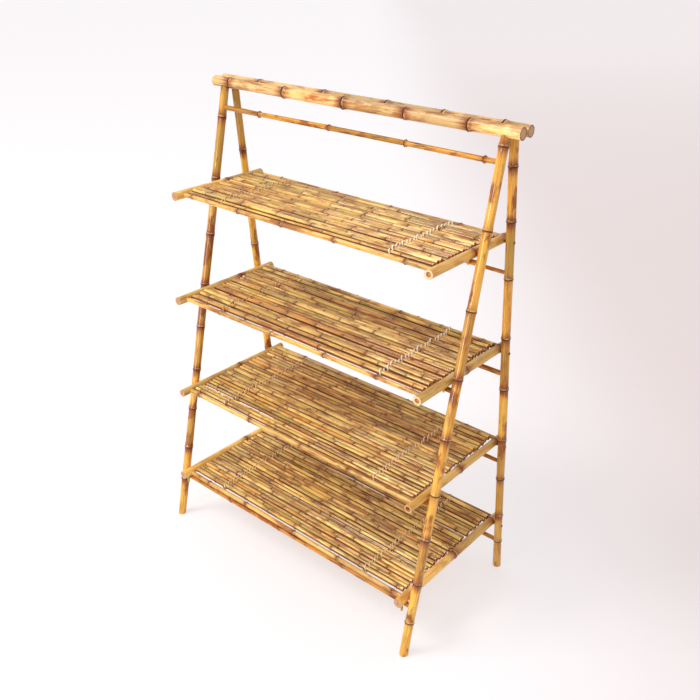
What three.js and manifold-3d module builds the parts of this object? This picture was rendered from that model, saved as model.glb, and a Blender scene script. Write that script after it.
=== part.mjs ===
// Folding four-shelf bamboo rack: two ladder frames hinged between their top rails, and four slatted
// shelves that turn on pins through the rear legs and rest on the front rungs.
// Millimetres, +Z up, -Y is the front. The origin is on the floor, under the middle of the rack.
import * as THREE from 'three';
import { mergeVertices } from 'three/addons/utils/BufferGeometryUtils.js';
import Module from 'manifold-3d';

const wasm = await Module();
wasm.setup();

// ---- Driving dimensions ----
const GAP = 0.3;            // clearance left between touching pieces
const RAIL_Z = 1304;        // axis height of both top rails
const MID_Y = 88.6;         // plane between the two rails
const RAIL_OFFSET = 16.2;   // each rail's axis from that plane
const RAIL_HALF = 490;
const RAIL_R = 14.6;
const LEG_X = 450;
const FRONT_LEG_R = 12;
const REAR_LEG_R = 11.3;
const FRONT_FOOT_Y = MID_Y - 318;
const REAR_FOOT_Y = MID_Y + 134;
const HINGE_Z = 1292;       // pin height of the two hinges between the rails
const HINGE_X = 300;
const BAR_X = 424;          // end bars of the shelves, just inside the legs
const PIN_R = 3;            // shelf pins through the rear legs
const RUNG_DEPTH = 7;       // how far a rung enters a leg, short of the leg's axis
const SLAT_HALF = 410.4;
const BEARER_X = 280;       // laths under the slats, below the two lashing lines
const NODE_RISE = 1.1;      // height of the bamboo's node rings

// Per shelf: bar axis height, bar radius, front and rear bar ends measured from the middle plane,
// number of slats, slat radius, radius of the front rung it rests on, rear rung height and radius,
// and how far its pegs hang below the bars.
const SHELVES = [
  { z: 1037, bar: 11.8, front: -247, rear: 75, slats: 19, slat: 5.9, frontR: 6.6, rearZ: 955, rearR: 5.4,
    pegDrop: 11 },
  { z: 735, bar: 12.0, front: -270, rear: 101, slats: 22, slat: 6.0, frontR: 7.0, rearZ: 669, rearR: 7.2,
    pegDrop: 11 },
  { z: 440, bar: 11.0, front: -289, rear: 130, slats: 25, slat: 6.1, frontR: 6.6, rearZ: 385, rearR: 6.2,
    pegDrop: 12 },
  { z: 157, bar: 12.0, front: -317, rear: 152.8, slats: 29, slat: 5.9, frontR: 7.2, rearZ: 97, rearR: 6.6,
    pegDrop: 25 },
];
// Axis height of the front rung under a shelf's bars, which rest on it.
const frontRungZ = (shelf) => shelf.z - shelf.bar - shelf.frontR - GAP;
const STRETCHER = { z: 1239, r: 6.8 };

// Heights of the node rings on each leg, and their places along the rails and stretcher.
const LEG_NODES = {
  frontLeft: [1212, 1046, 889, 742, 614, 481, 355, 228],
  frontRight: [1272, 1092, 910, 748, 596, 451, 330, 206, 95],
  rearLeft: [1107, 962, 812, 640, 439, 290, 150],
  rearRight: [1220, 1089, 942, 777, 626, 463, 328, 195, 98],
};
const RAIL_NODES = { front: [-427, -220, -14, 178, 355], rear: [-344, -110, 96, 262, 424] };
const STRETCHER_NODES = [-303, -52, 190, 409];

// ---- Materials: lacquered bamboo by batch, and plain steel ----
const bamboo = {
  frame: 0xc98f35, rail: 0xd29a3e, rung: 0xc4832c, bar: 0xbf8430, rod: 0xb8792a, slat: 0xcfa350,
  peg: 0xa87232,
};
const material = (color, roughness, metalness) =>
  new THREE.MeshStandardMaterial({ color, roughness, metalness });
const cane = (kind) => material(bamboo[kind], 0.38, 0);
const steel = () => material(0x8d8b86, 0.35, 0.95);

// ---- Solids ----
const rearFrame = new THREE.Group();
const frontFrame = new THREE.Group();
const UP = new THREE.Vector3(0, 1, 0);
const vec = (x, y, z) => new THREE.Vector3(x, y, z);

// A point on a frame's leg axis at height z; side is -1 on the left and 1 on the right.
const frontLegAt = (z, side) =>
  vec(side * LEG_X, MID_Y - RAIL_OFFSET + (FRONT_FOOT_Y - MID_Y + RAIL_OFFSET) * (1 - z / RAIL_Z), z);
const rearLegAt = (z, side) =>
  vec(side * LEG_X, MID_Y + RAIL_OFFSET + (REAR_FOOT_Y - MID_Y - RAIL_OFFSET) * (1 - z / RAIL_Z), z);

// Places a mesh whose geometry runs along its own Y axis between two points.
function span(mesh, from, to) {
  mesh.position.copy(from);
  mesh.quaternion.setFromUnitVectors(UP, to.clone().sub(from).normalize());
  mesh.updateMatrixWorld(true);
  return mesh;
}

function rod(from, to, radius, sides, kind = cane('rod')) {
  const length = from.distanceTo(to);
  const profile = [[0, 0], [radius, 0], [radius, length], [0, length]];
  return span(new THREE.Mesh(lathe(profile, sides), kind), from, to);
}

const lathe = (profile, sides) =>
  new THREE.LatheGeometry(profile.map(([r, y]) => new THREE.Vector2(r, y)), sides);

// A length of bamboo: a slow taper, a raised ring at each node, and at an open end a shallow
// recess inside the rim where the last diaphragm closes the culm.
function cane3d(from, to, r0, r1, nodes, kind, { sides = 12, open = [false, false] } = {}) {
  const length = from.distanceTo(to);
  const radius = (s) => r0 + (r1 - r0) * s / length;
  const profile = open[0] ? [[0, 2], [r0 * 0.7, 2], [r0 * 0.7, 0], [r0, 0]] : [[0, 0], [r0, 0]];
  for (const s of nodes.filter((n) => n > 6 && n < length - 6).sort((a, b) => a - b)) {
    profile.push([radius(s), s - 3.5], [radius(s) + NODE_RISE, s], [radius(s), s + 3.5]);
  }
  profile.push([r1, length]);
  if (open[1]) profile.push([r1 * 0.7, length], [r1 * 0.7, length - 2], [0, length - 2]);
  else profile.push([0, length]);
  return span(new THREE.Mesh(lathe(profile, sides), cane(kind)), from, to);
}

// The mesh's solid for joining and cutting, in the frame of another mesh.
function solid(mesh, frame) {
  const local = frame.matrixWorld.clone().invert().multiply(mesh.matrixWorld);
  const geometry = mesh.geometry.clone().applyMatrix4(local);
  geometry.deleteAttribute('normal');
  geometry.deleteAttribute('uv');
  const merged = mergeVertices(geometry, 1e-4);
  return new wasm.Manifold(new wasm.Mesh({
    numProp: 3,
    vertProperties: new Float32Array(merged.attributes.position.array),
    triVerts: new Uint32Array(merged.index.array),
  }));
}

function withSolid(mesh, result) {
  const { numProp, vertProperties, triVerts } = result.getMesh();
  const geometry = new THREE.BufferGeometry();
  const points = [];
  for (let i = 0; i < vertProperties.length; i += numProp) points.push(...vertProperties.slice(i, i + 3));
  geometry.setAttribute('position', new THREE.BufferAttribute(new Float32Array(points), 3));
  geometry.setIndex([...triVerts]);
  geometry.computeVertexNormals();
  mesh.geometry = geometry;
  return mesh;
}

const carve = (mesh, cutters) =>
  withSolid(mesh, cutters.reduce((whole, cutter) => whole.subtract(solid(cutter, mesh)), solid(mesh, mesh)));
const weld = (mesh, others) =>
  withSolid(mesh, others.reduce((whole, other) => whole.add(solid(other, mesh)), solid(mesh, mesh)));

// A cutter whose flats stay clear of a round piece of the given radius.
const bore = (from, to, radius, clearance = GAP, sides = 12) =>
  rod(from, to, (radius + clearance) / Math.cos(Math.PI / sides), sides);

const name = (mesh, label, parent) => {
  mesh.name = label;
  parent.add(mesh);
  return mesh;
};

const FLOOR = new THREE.Mesh(new THREE.BoxGeometry(1600, 1600, 100));
FLOOR.position.set(0, 0, -50);
FLOOR.updateMatrixWorld(true);

// ---- Rungs ----
// Axis of a rung between the legs of one frame, from hole bottom to hole bottom.
function rungSpan(legAt, z) {
  const inset = vec(RUNG_DEPTH, 0, 0);
  return [legAt(z, -1).add(inset), legAt(z, 1).sub(inset)];
}

const rungNodes = (count, shift) =>
  Array.from({ length: count }, (_, i) => (i + 0.5) * 886 / count + shift);

function addRung(legAt, z, radius, nodes, label, parent) {
  const [from, to] = rungSpan(legAt, z);
  name(cane3d(from, to, radius, radius - 0.3, nodes, 'rung', { sides: 8 }), label, parent);
}

// Cutters for the rung holes of the leg on one side, blind at the rung's end plus a gap.
function rungHoles(legAt, rungs, side) {
  return rungs.map(({ z, r }) => {
    const end = legAt(z, side);
    end.x -= side * (RUNG_DEPTH - GAP);
    const mouth = end.clone();
    mouth.x -= side * 30;
    return bore(end, mouth, r);
  });
}

const frontRungs = SHELVES.map((s) => ({ z: frontRungZ(s), r: s.frontR }));
const rearRungs = SHELVES.map((s) => ({ z: s.rearZ, r: s.rearR }));

// ---- Rails and legs ----
const railAxis = (side) => [-1, 1].map((end) =>
  vec(end * RAIL_HALF, MID_Y + side * RAIL_OFFSET, RAIL_Z));

function addRail(side, nodes, label, parent) {
  const [from, to] = railAxis(side);
  const places = nodes.map((x) => x + RAIL_HALF);
  const r = side < 0 ? [RAIL_R - 0.5, RAIL_R] : [RAIL_R, RAIL_R - 0.6];
  name(cane3d(from, to, ...r, places, 'rail', { sides: 12, open: [true, true] }), label, parent);
}

// A leg: its foot is sawn level with the floor, its top is coped to the underside of the rail,
// and it takes the blind rung holes of its own frame.
function addLeg(legAt, side, railSide, radius, nodes, cutters, label, parent) {
  const foot = legAt(-20, side);
  const top = legAt(RAIL_Z, side);
  const stretch = foot.distanceTo(top) / (RAIL_Z + 20);
  const places = nodes.map((z) => (z + 20) * stretch);
  const leg = cane3d(foot, top, radius, radius - 0.5, places, 'frame', { sides: 10 });
  const [railFrom, railTo] = railAxis(railSide);
  const cope = bore(railFrom, railTo, RAIL_R, GAP, 16);
  carve(leg, [FLOOR, cope, ...cutters]);
  name(leg, label, parent);
}

// ---- Shelves ----
const pivotAt = (shelf) => rearLegAt(shelf.z, 1);

function pinSpan(shelf, side) {
  const { y, z } = pivotAt(shelf);
  return [vec(side * (LEG_X + REAR_LEG_R + 0.4), y, z), vec(side * (BAR_X - 4), y, z)];
}

// Cutter for the running hole of a shelf pin through a rear leg.
function pinHole(shelf, side) {
  const { y, z } = pivotAt(shelf);
  return bore(vec(side * (LEG_X - 30), y, z), vec(side * (LEG_X + 30), y, z), PIN_R, 0.07, 16);
}

// Edge rods enter the bars; the rest of the slats end just short of them.
function edgeRodSpan(shelf, y) {
  const reach = BAR_X - 5;
  return [vec(-reach, y, shelf.z), vec(reach, y, shelf.z)];
}

const rodPlaces = (shelf) => [shelf.front + MID_Y + 28, shelf.rear + MID_Y - 15];

function addBar(shelf, side, label, parent) {
  const x = side * BAR_X;
  const from = vec(x, shelf.front + MID_Y, shelf.z);
  const to = vec(x, shelf.rear + MID_Y, shelf.z);
  const length = from.distanceTo(to);
  const nodes = side < 0 ? [length * 0.3, length * 0.72] : [length * 0.42, length * 0.86];
  const bar = cane3d(from, to, shelf.bar, shelf.bar - 0.4, nodes, 'bar', { sides: 10, open: [true, true] });
  const holes = rodPlaces(shelf).map((y) => {
    const [left, right] = edgeRodSpan(shelf, y);
    const end = side < 0 ? left : right;
    end.x += side * GAP;
    return bore(end, vec(end.x - side * 40, end.y, end.z), ROD_R);
  });
  const [head, tip] = pinSpan(shelf, side);
  tip.x -= side * GAP;
  const pegTop = pegSpan(shelf, side)[1];
  const pegFoot = pegTop.clone().setZ(pegTop.z - 40);
  pegTop.z += GAP;
  carve(bar, [...holes, bore(head, tip, PIN_R, GAP, 8), bore(pegTop, pegFoot, PEG_R, GAP, 8)]);
  name(bar, label, parent);
}

const ROD_R = 6.3;
const PEG_R = 3.6;
const PEG_X = BAR_X;

// A peg hangs from each bar just in front of the front rung and keeps the frames from spreading.
function pegSpan(shelf, side) {
  const rung = frontLegAt(frontRungZ(shelf), side);
  const y = rung.y - shelf.frontR - 1.6 - PEG_R;
  return [vec(side * PEG_X, y, shelf.z - shelf.bar - shelf.pegDrop), vec(side * PEG_X, y, shelf.z - 3)];
}

function addPin(shelf, side, label, parent) {
  const [head, tip] = pinSpan(shelf, side);
  const shaft = rod(head, tip, PIN_R, 16, steel());
  const cap = rod(head, vec(head.x + side * 0.8, head.y, head.z), 3.7, 12);
  name(weld(shaft, [cap]), label, parent);
}

// One shelf's slats, lying side by side, joined to the two laths that they are lashed to.
function addMat(shelf, label, parent) {
  const [first, last] = rodPlaces(shelf);
  const z = shelf.z + 3.2;
  const start = first + ROD_R + NODE_RISE + shelf.slat + 1;
  const end = last - ROD_R - NODE_RISE - shelf.slat - 1;
  const pitch = (end - start) / (shelf.slats - 1);
  const mat = slat(start, z, shelf.slat);
  const slats = Array.from({ length: shelf.slats - 1 }, (_, i) =>
    slat(start + (i + 1) * pitch, z, shelf.slat));
  const laths = [-1, 1].map((side) => lath(side * BEARER_X, start, end, z - shelf.slat * FLAT));
  weld(mat, [...laths, ...slats]);
  name(mat, label, parent);
}

const FLAT = Math.cos(Math.PI / 6);

function slat(y, z, radius) {
  const piece = rod(vec(-SLAT_HALF, y, z), vec(SLAT_HALF, y, z), radius, 6, cane('slat'));
  piece.rotateY(Math.PI / 6);
  piece.updateMatrixWorld(true);
  return piece;
}

// A split-bamboo lath, 16 wide and 4.5 deep, its top let 0.5 into the undersides of the slats.
function lath(x, start, end, top) {
  const piece = new THREE.Mesh(new THREE.BoxGeometry(16, end - start + 8, 4.5));
  piece.position.set(x, (start + end) / 2, top + 0.5 - 2.25);
  piece.updateMatrixWorld(true);
  return piece;
}

// ---- Hinges: two small steel butt hinges, their leaves screwed to the facing sides of the rails ----
const KNUCKLE_R = 4;
const LEAF_HALF = 15;
const LEAF_THICK = 1.1;
const LEAF_TOP = RAIL_Z + 7;

function leafPlate(x, side) {
  const foot = HINGE_Z + 2.6;
  const plate = new THREE.Mesh(new THREE.BoxGeometry(2 * LEAF_HALF, LEAF_THICK, LEAF_TOP - foot));
  plate.position.set(x, MID_Y + side * (0.15 + LEAF_THICK / 2), (LEAF_TOP + foot) / 2);
  plate.updateMatrixWorld(true);
  return plate;
}

// One leaf with its own knuckles, cut clear of the other leaf's knuckles and bored for the pin.
function leaf(x, side, knuckles, relief, label, parent) {
  const mesh = new THREE.Mesh(new THREE.BoxGeometry(1, 1, 1), steel());
  mesh.position.set(x, MID_Y, HINGE_Z);
  mesh.updateMatrixWorld(true);
  const at = (dx) => vec(x + dx, MID_Y, HINGE_Z);
  const barrels = knuckles.map(([a, b]) => solid(rod(at(a), at(b), KNUCKLE_R, 12), mesh));
  const plate = relief.reduce(
    (rest, [a, b]) => rest.subtract(solid(bore(at(a), at(b), KNUCKLE_R, 0.4), mesh)),
    solid(leafPlate(x, side), mesh));
  const whole = barrels.reduce((sum, barrel) => sum.add(barrel), plate);
  const hole = solid(bore(at(-20), at(20), 1.6, 0.08), mesh);
  name(withSolid(mesh, whole.subtract(hole)), label, parent);
}

function addHinge(x, label) {
  leaf(x, 1, [[-15, -5], [5, 15]], [[-5, 5]], `${label}_rear_leaf`, rearFrame);
  leaf(x, -1, [[-4.7, 4.7]], [[-17, -4.7], [4.7, 17]], `${label}_front_leaf`, frontFrame);
  const pin = rod(vec(x - 16.5, MID_Y, HINGE_Z), vec(x + 16.5, MID_Y, HINGE_Z), 1.6, 12, steel());
  name(pin, `${label}_pin`, rearFrame);
}

// ---- Assembly ----
const SIDES = [['left', -1], ['right', 1]];

addRail(1, RAIL_NODES.rear, 'rear_rail', rearFrame);
addRail(-1, RAIL_NODES.front, 'front_rail', frontFrame);

for (const [word, side] of SIDES) {
  const rearCuts = [...rungHoles(rearLegAt, rearRungs, side), ...SHELVES.map((s) => pinHole(s, side))];
  const rearNodes = side < 0 ? LEG_NODES.rearLeft : LEG_NODES.rearRight;
  addLeg(rearLegAt, side, 1, REAR_LEG_R, rearNodes, rearCuts, `rear_leg_${word}`, rearFrame);
  const stretcherHole = { z: STRETCHER.z, r: STRETCHER.r };
  const frontCuts = rungHoles(frontLegAt, [stretcherHole, ...frontRungs], side);
  const frontNodes = side < 0 ? LEG_NODES.frontLeft : LEG_NODES.frontRight;
  addLeg(frontLegAt, side, -1, FRONT_LEG_R, frontNodes, frontCuts, `front_leg_${word}`, frontFrame);
}

const stretcherPlaces = STRETCHER_NODES.map((x) => x + 443);
addRung(frontLegAt, STRETCHER.z, STRETCHER.r, stretcherPlaces, 'upper_stretcher', frontFrame);
addHinge(-HINGE_X, 'left_hinge');
addHinge(HINGE_X, 'right_hinge');

const shelfGroups = SHELVES.map((shelf, i) => {
  const group = new THREE.Group();
  const n = i + 1;
  const [frontNodes, rearNodes] = [rungNodes(3, i * 25 - 30), rungNodes(3, 40 - i * 30)];
  addRung(frontLegAt, frontRungZ(shelf), shelf.frontR, frontNodes, `front_rung_${n}`, frontFrame);
  addRung(rearLegAt, shelf.rearZ, shelf.rearR, rearNodes, `rear_rung_${n}`, rearFrame);
  rodPlaces(shelf).forEach((y, k) => {
    const [from, to] = edgeRodSpan(shelf, y);
    const edge = cane3d(from, to, ROD_R, ROD_R - 0.3, rungNodes(2, k * 90 - 60), 'rod', { sides: 8 });
    name(edge, `shelf_${n}_${k ? 'rear' : 'front'}_rod`, group);
  });
  addMat(shelf, `shelf_${n}_slats`, group);
  for (const [word, side] of SIDES) {
    addBar(shelf, side, `shelf_${n}_bar_${word}`, group);
    addPin(shelf, side, `shelf_${n}_pin_${word}`, group);
    const [low, high] = pegSpan(shelf, side);
    name(rod(low, high, PEG_R, 8, cane('peg')), `shelf_${n}_peg_${word}`, group);
  }
  return group;
});

const rack = new THREE.Group();
rack.add(rearFrame, frontFrame, ...shelfGroups);

export default rack;
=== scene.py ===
"""Folding bamboo ladder shelf: two ladder frames, four slatted shelves, twine lashings and hardware.

Lengths in this file are millimetres in the row frame (+Z up, -Y front) until a mesh is made.
"""

import math
import random

import bpy
import numpy as np
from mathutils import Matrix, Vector


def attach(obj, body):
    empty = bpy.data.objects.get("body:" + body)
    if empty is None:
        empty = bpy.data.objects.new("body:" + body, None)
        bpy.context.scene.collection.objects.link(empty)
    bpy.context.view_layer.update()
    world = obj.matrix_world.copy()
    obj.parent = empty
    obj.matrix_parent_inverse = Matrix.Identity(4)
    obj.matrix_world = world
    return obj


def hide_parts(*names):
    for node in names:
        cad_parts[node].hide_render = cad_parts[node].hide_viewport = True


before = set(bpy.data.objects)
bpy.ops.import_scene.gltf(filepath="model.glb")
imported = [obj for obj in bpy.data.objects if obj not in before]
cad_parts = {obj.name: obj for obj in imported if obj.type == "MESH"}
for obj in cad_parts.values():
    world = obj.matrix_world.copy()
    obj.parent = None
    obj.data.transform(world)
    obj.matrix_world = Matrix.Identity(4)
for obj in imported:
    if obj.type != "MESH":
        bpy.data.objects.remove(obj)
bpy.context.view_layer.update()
MM = 0.001

# ---- The rack's own dimensions, as in its CAD model ----
MID_Y = 88.6
RAIL_Z, RAIL_OFFSET, RAIL_HALF, RAIL_R = 1304.0, 16.2, 490.0, 14.6
LEG_X, FRONT_LEG_R, REAR_LEG_R = 450.0, 12.0, 11.3
FRONT_FOOT_Y, REAR_FOOT_Y = MID_Y - 318, MID_Y + 134
BAR_X, ROD_R, PEG_R, PIN_R = 424.0, 6.3, 3.6, 3.0
RUNG_REACH = LEG_X - 7  # half a rung, from the middle to its end inside a leg
ROD_REACH, SLAT_REACH = 419, 411  # half an edge rod and half a slat
FRONT_ROD_INSET, REAR_ROD_INSET = 28, 15
RUNG_GAP = 0.3  # between a side bar and the rung that it rests on
SLAT_RISE = 3.2  # of a slat of the usual radius, its axis over the bars' axes
LATH_X, LATH_GAP, LATH_DEPTH = 280.0, 0.3, 4.6
STRETCHER = dict(z=1239.0, r=6.8, nodes=(-303, -52, 190, 409))
SHELVES = (
    dict(z=1037, bar=11.8, front=-247, rear=75, slats=19, slat=5.9, front_r=6.6, rear_z=955, rear_r=5.4,
         peg_drop=11, end="wall"),
    dict(z=735, bar=12.0, front=-270, rear=101, slats=22, slat=6.0, front_r=7.0, rear_z=669, rear_r=7.2,
         peg_drop=11, end="wall"),
    dict(z=440, bar=11.0, front=-289, rear=130, slats=25, slat=6.1, front_r=6.6, rear_z=385, rear_r=6.2,
         peg_drop=12, end="hollow"),
    dict(z=157, bar=12.0, front=-317, rear=152.8, slats=29, slat=5.9, front_r=7.2, rear_z=97, rear_r=6.6,
         peg_drop=25, end="weathered"),
)
LEG_NODES = {
    "front_leg_left": (1212, 1046, 889, 742, 614, 481, 355, 228, 120),
    "front_leg_right": (1272, 1092, 910, 748, 596, 451, 330, 206, 95),
    "rear_leg_left": (1107, 962, 812, 640, 439, 290, 150),
    "rear_leg_right": (1220, 1089, 942, 777, 626, 463, 328, 195, 98),
}
RAIL_NODES = {"front_rail": (-427, -220, -14, 178, 355), "rear_rail": (-344, -110, 96, 262, 424)}

# ---- Camera: at the photograph's viewing angle ----
CAMERA_PLACE = (1.3957, -1.5392, 1.7257)
CAMERA_AZIMUTH, CAMERA_ELEVATION = 40.81, 27.35  # degrees
CAMERA_LENS, CAMERA_SENSOR = 43.745, 36.0  # mm


# ---- Colours ----
def srgb(r, g, b):
    """An sRGB colour, 0 to 255 each, as linear RGBA."""
    linear = [((c / 255 + 0.055) / 1.055) ** 2.4 if c > 10 else c / 255 / 12.92 for c in (r, g, b)]
    return (*linear, 1.0)


AMBER, RUST = srgb(188, 112, 30), srgb(150, 74, 20)
# The scorch colour is also used for the painted shade along the sides of rods and slats.
SCORCH_AND_SHADE, NODE_LINE, BLOOM = srgb(116, 56, 12), srgb(74, 36, 8), srgb(240, 206, 136)
GREEN, FLAME = srgb(190, 168, 58), srgb(172, 92, 18)
# Sawn ends: dark outer rim, tan wood, brown hollow, cream wall, by the value of the field "cut".
CUT_STOPS = ((0.25, srgb(112, 80, 62)), (0.5, srgb(200, 158, 112)), (0.75, srgb(184, 122, 62)),
             (1.0, srgb(238, 204, 152)))


# ---- Node-tree helpers ----
class Tree:
    """A short way to write a material's node tree."""

    def __init__(self, name):
        self.material = bpy.data.materials.new(name)
        self.material.use_nodes = True
        self.tree = self.material.node_tree
        self.shader = self.tree.nodes["Principled BSDF"]

    def node(self, kind, links=(), **settings):
        made = self.tree.nodes.new(kind)
        for key, value in settings.items():
            setattr(made, key, value)
        for socket, value in dict(links).items():
            self.put(made.inputs[socket], value)
        return made

    def put(self, socket, value):
        if isinstance(value, bpy.types.NodeSocket):
            self.tree.links.new(value, socket)
        else:
            socket.default_value = value

    def attribute(self, name, output="Fac"):
        return self.node("ShaderNodeAttribute", attribute_name=name).outputs[output]

    def noise(self, vector, scale, detail=3.0, roughness=0.55):
        stretched = self.node("ShaderNodeVectorMath", {0: vector, 1: scale}, operation="MULTIPLY")
        links = {"Vector": stretched.outputs[0], "Scale": 1.0, "Detail": detail, "Roughness": roughness}
        return self.node("ShaderNodeTexNoise", links).outputs["Fac"]

    def remap(self, value, low, high, to_low=0.0, to_high=1.0):
        links = {"Value": value, "From Min": low, "From Max": high, "To Min": to_low, "To Max": to_high}
        made = self.node("ShaderNodeMapRange", links, interpolation_type="SMOOTHSTEP")
        return made.outputs["Result"]

    def math(self, operation, a, b=0.0):
        return self.node("ShaderNodeMath", {0: a, 1: b}, operation=operation).outputs[0]

    def scaled(self, value, amount):
        return self.math("MULTIPLY", value, amount)

    def dot(self, vector, way):
        made = self.node("ShaderNodeVectorMath", {0: vector, 1: way}, operation="DOT_PRODUCT")
        return made.outputs["Value"]

    def mix(self, factor, a, b, blend="MIX"):
        made = self.node("ShaderNodeMix", data_type="RGBA", blend_type=blend)
        for socket, value in ((made.inputs[0], factor), (made.inputs[6], a), (made.inputs[7], b)):
            self.put(socket, value)
        return made.outputs[2]

    def bump(self, height, strength, distance):
        links = {"Height": height, "Strength": strength, "Distance": distance}
        return self.node("ShaderNodeBump", links).outputs["Normal"]

    def finish(self, **sockets):
        for name, value in sockets.items():
            self.put(self.shader.inputs[name.replace("_", " ")], value)
        return self.material


def bamboo(name, light, body, deep, *, stain=0.5, streaks=0.3, flame=0.4, gloss=0.8, green=0.3, warm=0.4,
           polish=0.2, painted_side_shade=None, scorch=1.0):
    """Lacquered cane: long fibres, stains, flame marks, scorched nodes with a dark line, sawn ends, and
    painted shade along the sides of a cane where it is asked for.

    painted_side_shade: (strength, start, end) of the painted shade along the sides of a cane, by the field
    "side"; it darkens the gaps between canes that lie side by side.
    """
    t = Tree(name)
    place = t.attribute("place", "Vector")
    knot, burn, tone, hue = (t.attribute(a) for a in ("knot", "burn", "tone", "hue"))
    cut, scar, side, bloom = (t.attribute(a) for a in ("cut", "scar", "side", "bloom"))

    fine = t.noise(place, (2200, 2200, 26), 2.0)
    streak = t.noise(place, (420, 420, 6), 3.0)
    patch = t.noise(place, (75, 75, 14), 3.0, 0.6)
    broad = t.noise(place, (20, 20, 6), 1.0)
    bands = t.noise(place, (30, 30, 12), 3.0, 0.6)

    colour = t.mix(t.remap(streak, 0.35, 0.66), body, light)
    colour = t.mix(t.scaled(t.remap(patch, 0.50, 0.70), stain), colour, deep)
    colour = t.mix(t.scaled(t.remap(broad, 0.45, 0.65), green), colour, GREEN)
    colour = t.mix(t.scaled(t.remap(hue, 0.55, 1.0), warm), colour, AMBER)
    colour = t.mix(t.scaled(t.remap(hue, 0.4, 0.0), green), colour, GREEN)
    colour = t.mix(t.scaled(t.remap(streak, 0.60, 0.72), streaks), colour, RUST)
    colour = t.mix(t.remap(fine, 0.52, 0.78, 0.0, 0.35), colour, deep)
    shade = t.remap(tone, 0.0, 1.0, 0.72, 1.2)
    grey = t.node("ShaderNodeCombineColor", {0: shade, 1: shade, 2: shade}).outputs[0]
    colour = t.mix(1.0, colour, grey, "MULTIPLY")

    flames = t.scaled(t.remap(bands, 0.51, 0.63), flame)
    colour = t.mix(flames, colour, t.mix(t.remap(streak, 0.35, 0.6), FLAME, SCORCH_AND_SHADE))
    burn = t.scaled(burn, scorch)
    wander = t.math("ADD", knot, t.remap(streak, 0.25, 0.75, -6.0, 6.0))
    colour = t.mix(t.math("MULTIPLY", t.remap(wander, 2.0, 32.0, 1.0, 0.0), burn), colour, RUST)
    colour = t.mix(t.math("MULTIPLY", t.remap(wander, 0.0, 12.0, 0.9, 0.0), burn), colour, SCORCH_AND_SHADE)
    colour = t.mix(t.math("MULTIPLY", t.scaled(bloom, 0.8), t.remap(patch, 0.35, 0.65)), colour, BLOOM)
    line = t.math("MULTIPLY", t.remap(knot, 0.7, 2.4, 0.5 + 0.5 * scorch, 0.0),
                  t.remap(patch, 0.25, 0.5, 0.55, 1.0))
    colour = t.mix(line, colour, NODE_LINE)
    colour = t.mix(t.scaled(scar, 0.8), colour, NODE_LINE)
    # Painted shade: darker along the sides of a cane, where it meets the next cane and shade falls in the
    # gap.
    if painted_side_shade:
        painted_gap_shade = t.math("ADD", side, t.remap(streak, 0.3, 0.7, -0.15, 0.15))
        strength, shade_start, shade_full = painted_side_shade
        colour = t.mix(t.remap(painted_gap_shade, shade_start, shade_full, 0.0, strength), colour, SCORCH_AND_SHADE)
    ends = t.node("ShaderNodeValToRGB", {"Fac": cut})
    for stop, (position, value) in zip(stretch_ramp(ends.color_ramp, len(CUT_STOPS)), CUT_STOPS):
        stop.position, stop.color = position, value
    ring = t.mix(t.remap(streak, 0.4, 0.7, 0.0, 0.55), ends.outputs[0], RUST)
    colour = t.mix(t.remap(cut, 0.02, 0.2), colour, ring)

    rough = t.math("ADD", t.remap(streak, 0.3, 0.7, 0.24, 0.40), t.scaled(cut, 0.4))
    height = t.math("ADD", t.scaled(fine, 0.6), t.scaled(streak, 0.8))
    return t.finish(Base_Color=colour, Roughness=rough, Normal=t.bump(height, 0.3, 0.0004),
                    Specular_IOR_Level=0.15, Coat_Weight=gloss, Coat_Roughness=polish, Coat_IOR=1.5)


def stretch_ramp(ramp, count):
    """The stops of a colour ramp, brought to the given number."""
    while len(ramp.elements) < count:
        ramp.elements.new(0.5)
    return ramp.elements


def twine(name, shadow, light):
    """Cotton cord: twisted strands with painted shade in the grooves between them, and stray fibre shades."""
    t = Tree(name)
    place = t.attribute("place", "Vector")
    strands = t.node("ShaderNodeTexWave", {"Vector": place, "Scale": 520.0, "Distortion": 1.5, "Detail": 2.0},
                     wave_type="BANDS", bands_direction="DIAGONAL").outputs["Fac"]
    shade = t.noise(place, (300, 300, 300), 2.0)
    colour = t.mix(t.remap(shade, 0.35, 0.7), shadow, light)
    # Painted shade: darker in the grooves between the twisted strands, where the bump dips.
    colour = t.mix(t.remap(strands, 0.0, 0.4, 0.25, 0.0), colour, srgb(196, 156, 106))
    return t.finish(Base_Color=colour, Roughness=t.remap(shade, 0.3, 0.7, 0.72, 0.92),
                    Normal=t.bump(strands, 0.2, 0.0002), Sheen_Weight=0.2)


def metal(name, bright, dull, roughness):
    """Plain steel with a brushed grain and dull spots."""
    t = Tree(name)
    place = t.node("ShaderNodeTexCoord").outputs["Object"]
    grain = t.noise(place, (300, 4000, 4000), 2.0)
    spots = t.noise(place, (350, 350, 350), 4.0, 0.65)
    colour = t.mix(t.remap(spots, 0.45, 0.7), bright, dull)
    rough = t.math("ADD", t.remap(grain, 0.3, 0.7, roughness - 0.08, roughness + 0.08),
                   t.remap(spots, 0.45, 0.7, 0.0, 0.2))
    return t.finish(Base_Color=colour, Roughness=rough, Metallic=0.95, Normal=t.bump(grain, 0.2, 0.0001))


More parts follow.
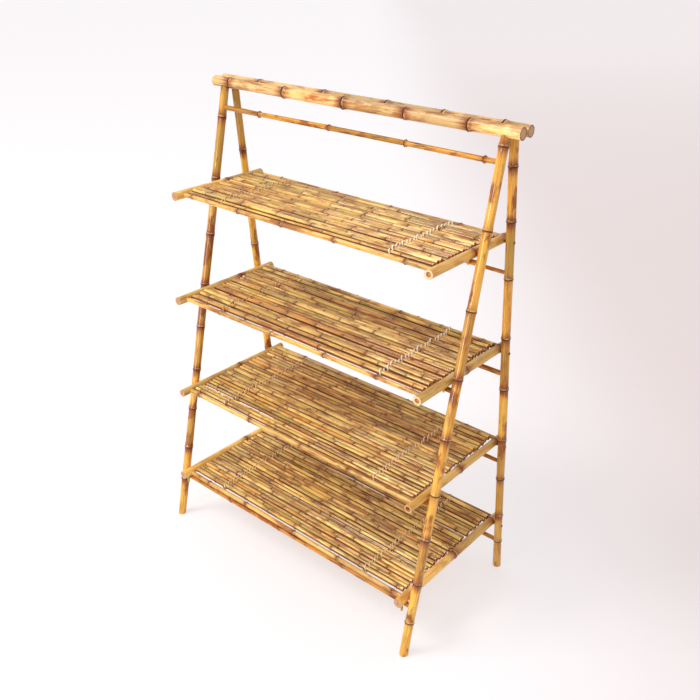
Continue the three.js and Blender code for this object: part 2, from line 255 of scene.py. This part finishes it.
MATERIALS = {
    "bamboo_rail": bamboo(
        "bamboo_rail", srgb(248, 212, 148), srgb(226, 170, 96), srgb(162, 86, 28), stain=0.85, streaks=1.0,
        flame=0.5, gloss=0.35, warm=0.2, green=0.0),
    "bamboo_leg": bamboo(
        "bamboo_leg", srgb(236, 182, 84), srgb(202, 138, 40), srgb(140, 64, 6), stain=0.5, streaks=0.7,
        flame=0.95, gloss=0.65, polish=0.06, warm=0.1, green=0.3, scorch=1.3),
    "bamboo_rung": bamboo(
        "bamboo_rung", srgb(220, 156, 66), srgb(182, 112, 34), srgb(104, 48, 10), stain=0.95, streaks=1.0,
        flame=0.9, gloss=0.3, green=0.1),
    "bamboo_bar": bamboo(
        "bamboo_bar", srgb(254, 212, 126), srgb(238, 184, 86), srgb(204, 132, 52), stain=0.5, flame=0.4,
        gloss=0.5, green=0.0, warm=0.2),
    # Rods and slats: painted shade along their sides, in the gaps between them (seam).
    "bamboo_rod": bamboo(
        "bamboo_rod", srgb(248, 206, 120), srgb(224, 164, 74), srgb(150, 76, 14), stain=0.8, streaks=0.9,
        flame=0.75, gloss=0.6, warm=0.1, green=0.15, painted_side_shade=(0.35, 0.4, 1.1)),
    "bamboo_slat": bamboo(
        "bamboo_slat", srgb(255, 230, 146), srgb(244, 176, 72), srgb(146, 64, 6), stain=0.8, streaks=1.0,
        flame=0.6, gloss=0.8, polish=0.1, green=0.35, warm=0.6, painted_side_shade=(1.0, 0.3, 0.92), scorch=0.65),
    "bamboo_peg": bamboo(
        "bamboo_peg", srgb(206, 156, 88), srgb(176, 122, 60), srgb(120, 72, 34), stain=0.6, gloss=0.1),
    "twine_white": twine("twine_white", srgb(252, 236, 206), srgb(255, 248, 230)),
    "twine_straw": twine("twine_straw", srgb(226, 180, 100), srgb(248, 212, 142)),
    "twine_tan": twine("twine_tan", srgb(236, 200, 150), srgb(252, 226, 184)),
    "hinge_steel": metal("hinge_steel", srgb(182, 182, 178), srgb(122, 118, 110), 0.34),
    "pin_steel": metal("pin_steel", srgb(142, 98, 70), srgb(84, 48, 32), 0.5),
}

# ---- Mesh assembly ----
# Per-point fields that the bamboo material reads. knot: distance from the nearest node; bloom: the pale
# wax above a node; burn: how scorched the node is; tone and hue: of the internode and the culm; cut: a
# sawn end; scar: a bud; side: 0 on a cane's top and bottom, 1 at its sides.
FIELDS = ("knot", "bloom", "burn", "tone", "hue", "cut", "scar", "side")
FAR = 60.0  # the field "knot" where there is no node near


class Shape:
    """Points, faces and per-point fields of one piece or of part of one, in millimetres."""

    def __init__(self):
        self.points, self.faces, self.place = [], [], []
        self.fields = {f: [] for f in FIELDS}

    def point(self, at, place=(0, 0, 0), **fields):
        self.points.append(tuple(at))
        self.place.append(place)
        for f in FIELDS:
            self.fields[f].append(fields.get(f, 0.0))
        return len(self.points) - 1

    def bridge(self, a, b):
        """Quads between two rings of equal size."""
        n = len(a)
        self.faces += [(a[i], a[(i + 1) % n], b[(i + 1) % n], b[i]) for i in range(n)]

    def fan(self, ring, centre, flip=False):
        n = len(ring)
        for i in range(n):
            pair = (ring[i], ring[(i + 1) % n])
            self.faces.append((*(pair[::-1] if flip else pair), centre))

    def take(self, other):
        start = len(self.points)
        self.points += other.points
        self.place += other.place
        self.faces += [tuple(i + start for i in face) for face in other.faces]
        for f in FIELDS:
            self.fields[f] += other.fields[f]


def make_object(name, shape, slot, body, nodes=(), smooth_angle=40):
    """The Blender object of a shape, riding on its body and standing for its CAD nodes."""
    mesh = bpy.data.meshes.new(name)
    mesh.from_pydata([tuple(c * MM for c in p) for p in shape.points], [], shape.faces)
    for f in FIELDS:
        mesh.attributes.new(f, "FLOAT", "POINT").data.foreach_set("value", shape.fields[f])
    flat = [c * MM for place in shape.place for c in place]
    mesh.attributes.new("place", "FLOAT_VECTOR", "POINT").data.foreach_set("vector", flat)
    mesh.materials.append(MATERIALS[slot])
    mesh.shade_smooth()
    mesh.set_sharp_from_angle(angle=math.radians(smooth_angle))
    obj = bpy.data.objects.new(name, mesh)
    bpy.context.scene.collection.objects.link(obj)
    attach(obj, body)
    if nodes:
        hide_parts(*nodes)
    return obj


# ---- Culms ----
# Profile of a node, as (distance along the culm, height): the thin sheath scar, a groove and the softer
# ridge above it, for a culm of 12 mm radius.
NODE_PROFILE = ((-13, 0.0), (-7, 0.2), (-3.2, 0.55), (-1.5, 0.95), (-0.7, 1.35), (-0.1, 1.15), (0.5, 0.35),
                (1.3, 0.45), (2.6, 0.95), (4.2, 0.8), (7, 0.3), (12, 0.0))
NODE_REACH = 14
BLOOM_AT, BLOOM_HALF = 3.2, 2.2
BUD_AT, BUD_LENGTH, BUD_WIDTH, BUD_HEIGHT = 6, 3.4, 0.26, 0.9  # the width is in radians
GROOVE_WIDTH, GROOVE_DEPTH, GROOVE_FADE = 0.42, 0.05, 9  # radians, a share of the radius, diameters

# Sawn ends, from the rim inwards: share of the radius, depth in mm, and the field "cut".
END_PROFILES = {
    "hollow": ((0.93, 0.0, 1.0), (0.62, 0.0, 0.6), (0.55, 2.0, 0.75), (0.5, 9.0, 0.3)),
    "wall": ((0.95, 0.0, 1.0), (0.58, 0.0, 1.0), (0.52, 1.2, 0.75), (0.46, 3.0, 0.75), (0.2, 2.6, 0.7)),
    "rimmed": ((0.985, 0.0, 0.25), (0.82, 0.05, 0.25), (0.79, 0.1, 0.5), (0.58, 0.3, 0.5), (0.53, 0.4, 0.35),
               (0.48, 0.3, 0.5)),
    "weathered": ((0.97, 0.0, 0.3), (0.8, 0.1, 0.5), (0.5, 0.8, 0.75), (0.2, 0.9, 0.3)),
    "plain": ((0.9, 0.0, 0.5),),
}


def node_height(offset, scale):
    """Height of the node's ridges at a signed distance from it."""
    xs, ys = zip(*NODE_PROFILE)
    return float(np.interp(offset / scale, xs, ys)) * scale if abs(offset) < NODE_REACH * scale else 0.0


def stations(length, nodes, scale, step):
    """Distances along a culm at which it has a ring of points."""
    marks = {0.0, length}
    for n in nodes:
        marks |= {n + o * scale for o, _ in NODE_PROFILE}
    marks |= set(np.arange(step, length - step / 2, step))
    inside = sorted(m for m in marks if 0 <= m <= length)
    kept = [inside[0]]
    for m in inside[1:]:
        if m - kept[-1] > 0.25 * scale:
            kept.append(m)
    kept[-1] = length
    return kept


def culm(start, end, r0, r1, nodes, seed, *, sides=20, step=45.0, bow=0.6, knob=1.0,
         ends=("hollow", "hollow"), cope=None, floor_end=None):
    """A length of cane from start to end with nodes at the given distances along it.

    ends: which of END_PROFILES each end has. cope: (y, z, radius) of the rail that the far end is
    shaped to fit. floor_end: 0 or 1 where that end is sawn level with the floor.
    """
    rng = random.Random(seed)
    a, b = Vector(start), Vector(end)
    along = (b - a).normalized()
    length = (b - a).length
    side = (Vector((0, 0, 1)) if abs(along.z) < 0.8 else Vector((0, 1, 0))).cross(along).normalized()
    up = along.cross(side)
    nodes = sorted(n for n in nodes if 8 < n < length - 8)
    scale = max(0.5, (r0 + r1) / 24)
    shape = Shape()

    knees = [0.0, *nodes, length]
    sway = [(0.0, 0.0)] + [(rng.uniform(-bow, bow), rng.uniform(-bow, bow)) for _ in nodes] + [(0.0, 0.0)]
    sway_u, sway_v = zip(*sway)
    burns = [rng.uniform(0.6, 1.0) if rng.random() < 0.8 else 0.25 for _ in nodes] or [0.0]
    tones = [rng.random() for _ in range(len(nodes) + 1)]
    hue = rng.random()
    knobs = [knob * rng.uniform(0.75, 1.25) for _ in nodes] or [0.0]
    spin = rng.uniform(0, math.tau)
    offset = [rng.uniform(-400, 400) for _ in range(3)]
    pinch = [rng.uniform(0.96, 1.04) for _ in knees]

    def ring(s, radius_scale=1.0, inset=0.0, **fields):
        """A ring of points at distance s."""
        nearest = min(range(len(nodes)), key=lambda i: abs(s - nodes[i])) if nodes else None
        knot = s - nodes[nearest] if nodes else 99.0
        internode = sum(s > n for n in nodes)
        u, v = np.interp(s, knees, sway_u), np.interp(s, knees, sway_v)
        base = (r0 + (r1 - r0) * s / length) * float(np.interp(s, knees, pinch))
        base += knobs[nearest or 0] * node_height(knot, scale)
        phase = spin + math.pi * internode
        from_node = s - (nodes[internode - 1] if internode else 0)
        fade = math.exp(-from_node / (GROOVE_FADE * (r0 + r1)))
        groove = fade * GROOVE_DEPTH * base if internode else 0.0
        made = []
        for i in range(sides):
            angle = math.tau * i / sides
            turn = math.remainder(angle - phase, math.tau)
            dent = groove * math.exp(-((turn / GROOVE_WIDTH) ** 2))
            bud = math.exp(-((turn / BUD_WIDTH) ** 2)
                           - ((knot - BUD_AT * scale) / (BUD_LENGTH * scale)) ** 2) if internode else 0
            r = (base - dent + BUD_HEIGHT * scale * knob * bud) * radius_scale
            w = Vector((math.cos(angle), math.sin(angle)))
            at = a + along * (s + inset) + side * (u + r * w.x) + up * (v + r * w.y)
            if cope and s > length - 1e-6 and radius_scale > 0.5:
                at = reach_rail(at, along, cope)
            if floor_end is not None and abs(s - length * floor_end) < 1e-6:
                at -= along * (at.z / along.z)
            place = (offset[0] + r * w.x, offset[1] + r * w.y, offset[2] + s)
            values = dict(knot=min(FAR, abs(knot) / scale),
                          bloom=max(0.0, 1 - abs(knot / scale - BLOOM_AT) / BLOOM_HALF),
                          burn=burns[nearest] if nodes else 0.0, tone=tones[internode], hue=hue,
                          scar=0.7 * bud, side=1 - abs(w.y))
            made.append(shape.point(at, place, **{**values, **fields}))
        return made

    rings = [ring(s) for s in stations(length, nodes, scale, step)]
    for lower, upper in zip(rings, rings[1:]):
        shape.bridge(lower, upper)
    for which, kind in enumerate(ends):
        edge, s, inward = rings[-which], length * which, (1, -1)[which]
        flip, profile = which == 0, END_PROFILES[kind]
        last = edge
        for k, depth, cut in profile:
            depth = min(depth, length / 4)
            nxt = ring(s, k, inward * depth, cut=cut, knot=FAR, scar=0.0)
            shape.bridge(*((nxt, last) if flip else (last, nxt)))
            last = nxt
        middle = sum((Vector(shape.points[i]) for i in last), Vector()) / len(last)
        centre = shape.point(middle, shape.place[last[0]], cut=profile[-1][2], knot=FAR)
        shape.fan(last, centre, flip=flip)
    return shape


def reach_rail(at, along, cope):
    """Moves a point along the leg until it lies on the underside of the rail."""
    y, z = at.y - cope[0], at.z - cope[1]
    b = y * along.y + z * along.z
    c = y * y + z * z - cope[2] ** 2
    k = along.y ** 2 + along.z ** 2
    root = b * b - k * c
    return at + along * ((-b - math.sqrt(root)) / k) if root > 0 else at


def random_nodes(rng, length, gap):
    """Node places along a culm, about gap apart and a little irregular."""
    places, s = [], rng.uniform(0.15, 0.95) * gap
    while s < length - 12:
        places.append(s)
        s += gap * rng.uniform(0.82, 1.2)
    return places


# ---- The two ladder frames ----
def front_leg_at(z, side):
    """The point at height z on a front leg's axis; side is -1 on the left and 1 on the right."""
    run = FRONT_FOOT_Y - MID_Y + RAIL_OFFSET
    return Vector((side * LEG_X, MID_Y - RAIL_OFFSET + run * (1 - z / RAIL_Z), z))


def rear_leg_at(z, side):
    """The point at height z on a rear leg's axis."""
    run = REAR_FOOT_Y - MID_Y - RAIL_OFFSET
    return Vector((side * LEG_X, MID_Y + RAIL_OFFSET + run * (1 - z / RAIL_Z), z))


def front_rung_z(shelf):
    """Height of the axis of the rung that a shelf rests on."""
    return shelf["z"] - shelf["bar"] - shelf["front_r"] - RUNG_GAP


def make_rail(name, side, radii, seed, body):
    y = MID_Y + side * RAIL_OFFSET
    nodes = [x + RAIL_HALF for x in RAIL_NODES[name]]
    shape = culm((-RAIL_HALF, y, RAIL_Z), (RAIL_HALF, y, RAIL_Z), *radii, nodes, seed, sides=28, bow=0.5,
                 knob=1.2, ends=("rimmed", "rimmed"))
    make_object(name, shape, "bamboo_rail", body, [name])


def make_leg(name, leg_at, side, rail_side, radius, seed, body):
    foot, top = leg_at(0, side), leg_at(RAIL_Z - RAIL_R, side)
    slope = (top - foot).length / (RAIL_Z - RAIL_R)
    nodes = [z * slope for z in LEG_NODES[name]]
    cope = (MID_Y + rail_side * RAIL_OFFSET, RAIL_Z, RAIL_R + 0.1)
    shape = culm(foot, top, radius, radius - 0.5, nodes, seed, sides=24, bow=0.9, knob=1.15,
                 ends=("hollow", "plain"), cope=cope, floor_end=0)
    make_object(name, shape, "bamboo_leg", body, [name])


def make_rung(name, leg_at, z, radius, nodes, seed, body, knob=1.8):
    inset = Vector((LEG_X - RUNG_REACH, 0, 0))
    shape = culm(leg_at(z, -1) + inset, leg_at(z, 1) - inset, radius, radius - 0.5, nodes, seed, sides=18,
                 bow=1.2, knob=knob, ends=("plain", "plain"))
    make_object(name, shape, "bamboo_rung", body, [name])


make_rail("rear_rail", 1, (RAIL_R, RAIL_R - 0.6), 11, "rear_frame")
make_rail("front_rail", -1, (RAIL_R - 0.5, RAIL_R), 12, "front_frame")
for word, side in (("left", -1), ("right", 1)):
    make_leg(f"rear_leg_{word}", rear_leg_at, side, 1, REAR_LEG_R, 20 + side, "rear_frame")
    make_leg(f"front_leg_{word}", front_leg_at, side, -1, FRONT_LEG_R, 30 + side, "front_frame")
make_rung("upper_stretcher", front_leg_at, STRETCHER["z"], STRETCHER["r"],
          [x + RUNG_REACH for x in STRETCHER["nodes"]], 41, "front_frame", knob=3.3)
for number, shelf in enumerate(SHELVES, 1):
    rng = random.Random(50 + number)
    for end, leg_at, z, r in (("front", front_leg_at, front_rung_z(shelf), shelf["front_r"]),
                              ("rear", rear_leg_at, shelf["rear_z"], shelf["rear_r"])):
        nodes = random_nodes(rng, 2 * RUNG_REACH, 235)
        seed = 60 + 2 * number + (end == "front")
        make_rung(f"{end}_rung_{number}", leg_at, z, r, nodes, seed, f"{end}_frame")


# ---- Shelves ----
def rod_places(shelf):
    """Y of the front and rear edge rods."""
    return shelf["front"] + MID_Y + FRONT_ROD_INSET, shelf["rear"] + MID_Y - REAR_ROD_INSET


def slat_rows(shelf):
    """Y and radius of each slat from front to rear, and the height that they rest on."""
    rng = random.Random(shelf["z"])
    first, last = rod_places(shelf)
    edge, end = first + ROD_R + 4.5, last - ROD_R - 1.5
    widths = [rng.uniform(0.78, 1.18) for _ in range(shelf["slats"])]
    unit = (end - edge) / sum(widths)
    rows = []
    for width in widths:
        half = width * unit / 2
        thin = rng.random() < 0.14
        rows.append((edge + half, half * 0.66 if thin else half - rng.uniform(0.1, 0.9)))
        edge += 2 * half
    return rows, shelf["z"] + SLAT_RISE - shelf["slat"]


def make_slats(number, shelf, body):
    """The thin canes of one shelf, none quite alike, on their two split laths."""
    rng = random.Random(100 + number)
    rows, rest = slat_rows(shelf)
    mat = Shape()
    for i, (y, r) in enumerate(rows):
        taper = rng.uniform(-0.5, 0.5)
        left, right = -SLAT_REACH + rng.uniform(0, 4), SLAT_REACH - rng.uniform(0, 5)
        skew = rng.uniform(-0.9, 0.9)
        nodes = random_nodes(rng, right - left, rng.uniform(90, 180))
        start, end = Vector((left, y - skew, rest + r)), Vector((right, y + skew, rest + r))
        if rng.random() < 0.5:
            start, end = end, start
        mat.take(culm(start, end, r + taper, r - taper, nodes, 1000 * number + i, sides=12, step=120,
                      bow=0.9, knob=1.9))
    for side in (-1, 1):
        mat.take(lath(side * LATH_X, rows[0][0] - 4, rows[-1][0] + 4, rest - LATH_GAP, 7 * number + side))
    make_object(f"shelf_{number}_slats", mat, "bamboo_slat", body, [f"shelf_{number}_slats"])


def lath(x, y0, y1, top, seed):
    """Half of a split culm, flat side up, under the slats."""
    shape = Shape()
    rng = random.Random(seed)
    offset = [rng.uniform(-300, 300) for _ in range(3)]
    section = [(-8, 0), (-8, -1.2), (-6.4, -3.0), (-3.4, -4.2), (0, -LATH_DEPTH), (3.4, -4.2), (6.4, -3.0),
               (8, -1.2), (8, 0)]
    rings, spans = [], 24
    for k in range(spans + 1):
        y = y0 + (y1 - y0) * k / spans
        wobble = rng.uniform(-0.3, 0.3)
        rings.append([shape.point((x + u + wobble, y, top + v), (offset[0] + u, offset[1] + v, offset[2] + y),
                                  knot=FAR, tone=0.4, cut=0.5 if v == 0 else 0.0) for u, v in section])
    for lower, upper in zip(rings, rings[1:]):
        shape.bridge(upper, lower)
    shape.faces.append(tuple(rings[0]))
    shape.faces.append(tuple(reversed(rings[-1])))
    return shape


def make_edge_rods(number, shelf, body):
    """The rods along a shelf's front and rear edges, let into the side bars."""
    rng = random.Random(200 + number)
    for word, y in zip(("front", "rear"), rod_places(shelf)):
        name = f"shelf_{number}_{word}_rod"
        nodes = random_nodes(rng, 2 * ROD_REACH, 190)
        shape = culm((-ROD_REACH, y, shelf["z"]), (ROD_REACH, y, shelf["z"]), ROD_R, ROD_R - 0.4, nodes,
                     210 + 2 * number, sides=18, bow=1.0, knob=2.4, ends=("plain", "plain"))
        make_object(name, shape, "bamboo_rod", body, [name])


def make_bars(number, shelf, body):
    """A shelf's two side bars."""
    rng = random.Random(300 + number)
    for word, side in (("left", -1), ("right", 1)):
        name = f"shelf_{number}_bar_{word}"
        y0, y1 = shelf["front"] + MID_Y, shelf["rear"] + MID_Y
        shares = (rng.uniform(0.55, 0.65),) if side < 0 else (0.52, 0.93)
        nodes = [(y1 - y0) * share for share in shares]
        shape = culm((side * BAR_X, y0, shelf["z"]), (side * BAR_X, y1, shelf["z"]), shelf["bar"],
                     shelf["bar"] - 0.4, nodes, 310 + 2 * number + side, sides=24, bow=0.4,
                     ends=("weathered" if side < 0 else shelf["end"], "weathered"))
        make_object(name, shape, "bamboo_bar", body, [name])


def lathe(start, axis, profile, sides, seed=0):
    """A turned shape about axis from start: profile is (distance, radius) pairs."""
    shape = Shape()
    rng = random.Random(seed)
    axis = Vector(axis).normalized()
    side = axis.orthogonal().normalized()
    up = axis.cross(side)
    offset = [rng.uniform(-300, 300) for _ in range(3)]
    rings = []
    for s, r in profile:
        points = []
        for i in range(sides):
            angle = math.tau * i / sides
            radial = side * math.cos(angle) * r + up * math.sin(angle) * r
            place = (offset[0] + r * math.cos(angle), offset[1] + r * math.sin(angle), offset[2] + s)
            points.append(shape.point(Vector(start) + axis * s + radial, place, knot=FAR, tone=0.5))
        rings.append(points)
    for lower, upper in zip(rings, rings[1:]):
        shape.bridge(lower, upper)
    for points, flip, (s, _) in ((rings[0], True, profile[0]), (rings[-1], False, profile[-1])):
        centre = shape.point(Vector(start) + axis * s, (*offset[:2], offset[2] + s), knot=FAR, tone=0.5)
        shape.fan(points, centre, flip=flip)
    return shape


def make_pins(number, shelf, body):
    """Round-headed nails through the rear legs into the bars."""
    at = rear_leg_at(shelf["z"], 1)
    for word, side in (("left", -1), ("right", 1)):
        name = f"shelf_{number}_pin_{word}"
        start = (side * (BAR_X - 4), at.y, at.z)
        reach = LEG_X + REAR_LEG_R + 0.4 - (BAR_X - 4)
        profile = [(0, PIN_R * 0.6), (1.5, PIN_R), (reach, PIN_R), (reach, 3.7), (reach + 0.25, 3.7),
                   (reach + 0.5, 3.2), (reach + 0.7, 2.0), (reach + 0.8, 0.8)]
        make_object(name, lathe(start, (side, 0, 0), profile, 20), "pin_steel", body, [name])


def make_pegs(number, shelf, body):
    """Whittled pegs that hang from the bars just in front of the rung."""
    for word, side in (("left", -1), ("right", 1)):
        name = f"shelf_{number}_peg_{word}"
        y = front_leg_at(front_rung_z(shelf), side).y - shelf["front_r"] - 1.6 - PEG_R
        low = shelf["z"] - shelf["bar"] - shelf["peg_drop"]
        length = shelf["peg_drop"] + shelf["bar"] - 3
        profile = [(0, 1.9), (0.9, 2.7), (4, 3.1), (7, 3.4), (10, 3.55), (length, 3.55)]
        facets = 9
        shape = lathe((side * BAR_X, y, low), (0, 0, 1), profile, facets, seed=number * 3 + side)
        shape.fields["cut"][:facets] = [0.4] * facets
        make_object(name, shape, "bamboo_peg", body, [name], smooth_angle=25)


# ---- Twine ----
CORD_R = {"twine_white": 1.8, "twine_straw": 1.25, "twine_tan": 1.4}
CORD_SIDES = 7


def tube(path, radius, sides, seed):
    """A round cord along a list of points."""
    shape = Shape()
    rng = random.Random(seed)
    offset = rng.uniform(-300, 300)
    points = [Vector(p) for p in path]
    rings, run = [], 0.0
    for k, p in enumerate(points):
        ahead = (points[min(k + 1, len(points) - 1)] - points[max(k - 1, 0)]).normalized()
        across = ahead.cross(Vector((1, 0, 0.02))).normalized()
        other = ahead.cross(across)
        run += (p - points[k - 1]).length if k else 0.0
        ring = []
        for i in range(sides):
            angle = math.tau * i / sides
            radial = across * math.cos(angle) * radius + other * math.sin(angle) * radius
            place = (offset + radius * angle, radius * angle, run)
            ring.append(shape.point(p + radial, place))
        rings.append(ring)
    for lower, upper in zip(rings, rings[1:]):
        shape.bridge(lower, upper)
    for ring, flip, p in ((rings[0], True, points[0]), (rings[-1], False, points[-1])):
        shape.fan(ring, shape.point(p), flip=flip)
    return shape


def lashing_path(shelf, line, cord_r, seed):
    """One lashing: the cord crosses each slat at a slant and passes back under the lath."""
    rng = random.Random(seed)
    rows, rest = slat_rows(shelf)
    under = rest - LATH_GAP - LATH_DEPTH - cord_r
    below, half_slant, half_gap, steps = 2.5, 6, 6.3, 6
    half_lath_gap = half_gap + 0.2
    path = []
    for y, r in rows:
        x, reach = line + rng.uniform(-2.5, 2.5), r + 0.6
        over = r + cord_r + 0.1
        path.append((x + half_lath_gap, y - reach, under))
        path.append((x + half_gap, y - reach, rest + r - below))
        for k in range(steps + 1):
            angle = math.pi * (1 - k / steps)
            path.append((x - half_slant * (k / (steps / 2) - 1), y + over * math.cos(angle) * 0.98,
                         rest + r + 0.4 + over * math.sin(angle)))
        path.append((x - half_gap, y + reach, rest + r - below))
        path.append((x - half_lath_gap, y + reach, under))
    return path


def make_lashings(number, shelf, body):
    for word, side in (("left", -1), ("right", 1)):
        seed = number * 5 + side
        cord = ("twine_white" if side > 0 else "twine_straw") if number <= 2 else "twine_tan"
        path = lashing_path(shelf, side * LATH_X, CORD_R[cord], seed)
        shape = tube(path, CORD_R[cord], CORD_SIDES, seed)
        make_object(f"shelf_{number}_lashing_{word}", shape, cord, body)


for number, shelf in enumerate(SHELVES, 1):
    body = f"shelf_{number}"
    make_slats(number, shelf, body)
    make_edge_rods(number, shelf, body)
    make_bars(number, shelf, body)
    make_pins(number, shelf, body)
    make_pegs(number, shelf, body)
    make_lashings(number, shelf, body)


# ---- Hinges between the rails: their CAD shapes stay, in zinc-plated steel ----
for word in ("left", "right"):
    for part in ("rear_leaf", "front_leaf", "pin"):
        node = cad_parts[f"{word}_hinge_{part}"]
        node.data.materials.clear()
        node.data.materials.append(MATERIALS["hinge_steel"])


# ---- Stage, light and camera ----
RIGHTWARD, AWAY = (0.76, 0.65, 0.0), (-0.65, 0.76, 0.0)  # fixed directions along the floor


def floor_material():
    """Pale seamless floor that glows, with painted shade: faintly warmer and darker beside the rack's right
    end.
    """
    t = Tree("floor")
    place = t.node("ShaderNodeTexCoord").outputs["Object"]
    across, away = t.dot(place, RIGHTWARD), t.dot(place, AWAY)
    # Painted shade beside the rack's right end, fading with distance; the glow carries it as well as the
    # colour.
    beside = t.math("ADD", across, t.scaled(t.noise(place, (0.5, 0.5, 0.5), 1.0), 0.2))
    shade = t.math("MULTIPLY", t.remap(beside, 0.3, 1.6), t.remap(away, 1.2, 12.0, 1.0, 0.4))
    glow = t.mix(shade, srgb(253, 250, 252), srgb(229, 216, 216))
    colour = t.mix(0.58, glow, srgb(40, 36, 36))
    return t.finish(Base_Color=colour, Roughness=0.75, Emission_Color=glow, Emission_Strength=0.56)


def make_floor():
    bpy.ops.mesh.primitive_plane_add(size=60, location=(0, 0, 0))
    floor = bpy.context.object
    floor.name = "floor"
    floor.data.materials.append(floor_material())


def area_light(name, place, target, size, power):
    light = bpy.data.lights.new(name, "AREA")
    light.shape, light.size, light.size_y, light.energy = "RECTANGLE", *size, power
    obj = bpy.data.objects.new(name, light)
    obj.location = place
    obj.rotation_euler = (Vector(target) - Vector(place)).to_track_quat("-Z", "Y").to_euler()
    bpy.context.scene.collection.objects.link(obj)


def make_lights():
    world = bpy.context.scene.world or bpy.data.worlds.new("world")
    bpy.context.scene.world = world
    world.use_nodes = True
    background = world.node_tree.nodes["Background"]
    background.inputs["Color"].default_value = (1.0, 0.985, 0.98, 1)
    background.inputs["Strength"].default_value = 0.85
    area_light("key", (-3.2, -3.6, 6.6), (0, 0, 0.6), (2.6, 2.6), 260)
    area_light("front", (-0.2, -4.4, 0.9), (0, 0, 0.5), (1.2, 1.7), 80)


def make_camera():
    data = bpy.data.cameras.new("camera")
    data.lens, data.sensor_width = CAMERA_LENS, CAMERA_SENSOR
    data.clip_start, data.clip_end = 0.05, 100
    camera = bpy.data.objects.new("camera", data)
    camera.location = CAMERA_PLACE
    camera.rotation_euler = (math.radians(90 - CAMERA_ELEVATION), 0, math.radians(CAMERA_AZIMUTH))
    bpy.context.scene.collection.objects.link(camera)
    bpy.context.scene.camera = camera


make_floor()
make_lights()
make_camera()
bpy.context.scene.view_settings.view_transform = "Standard"
